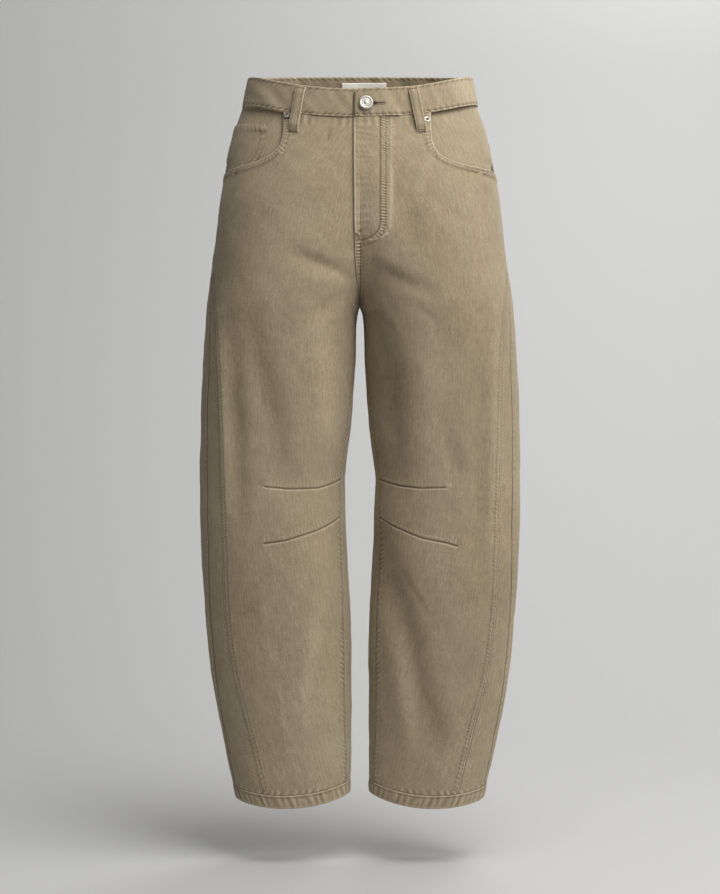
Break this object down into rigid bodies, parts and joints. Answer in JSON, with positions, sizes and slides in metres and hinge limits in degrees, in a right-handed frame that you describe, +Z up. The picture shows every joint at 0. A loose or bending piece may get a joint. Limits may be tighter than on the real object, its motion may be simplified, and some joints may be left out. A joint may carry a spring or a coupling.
{
  "type": "barrel-leg jeans",
  "caption": "Five-pocket barrel-leg jeans in olive-brown cotton twill, filled out as if worn, with a curved side seam panel, knee darts, a buttoned waist and turned hems.",
  "frame": {"origin": "the centre of the waist, at half the height of the waistband at the side seams, where the wearer holds the garment up", "axes": "+Z up, out of the waist; -Y forwards, out of the fly; +X to the wearer's left"},
  "size_m": [0.4164, 0.2324, 0.9589],
  "materials": {
    "twill": "washed heavy cotton twill, matt, slightly faded on the seams",
    "nickel": "worn nickel plate, satin",
    "ribbon": "bare woven cream label"
  },
  "bodies": {
    "root": {"front_left": "twill", "front_right": "twill", "side_panel_left": "twill", "side_panel_right": "twill", "back_left": "twill", "back_right": "twill", "yoke_left": "twill", "yoke_right": "twill", "pocket_facing_left": "twill", "pocket_facing_right": "twill", "back_pocket_left": "twill", "back_pocket_right": "twill", "hem_left": "twill", "hem_right": "twill", "loop_front_left": "twill", "loop_front_right": "twill", "loop_side_left": "twill", "loop_side_right": "twill", "coin_pocket": "twill", "waistband": "twill", "loop_back": "twill", "button": "nickel", "rivet_left": "nickel", "rivet_right": "nickel", "label": "ribbon"}
  },
  "joints": []
}
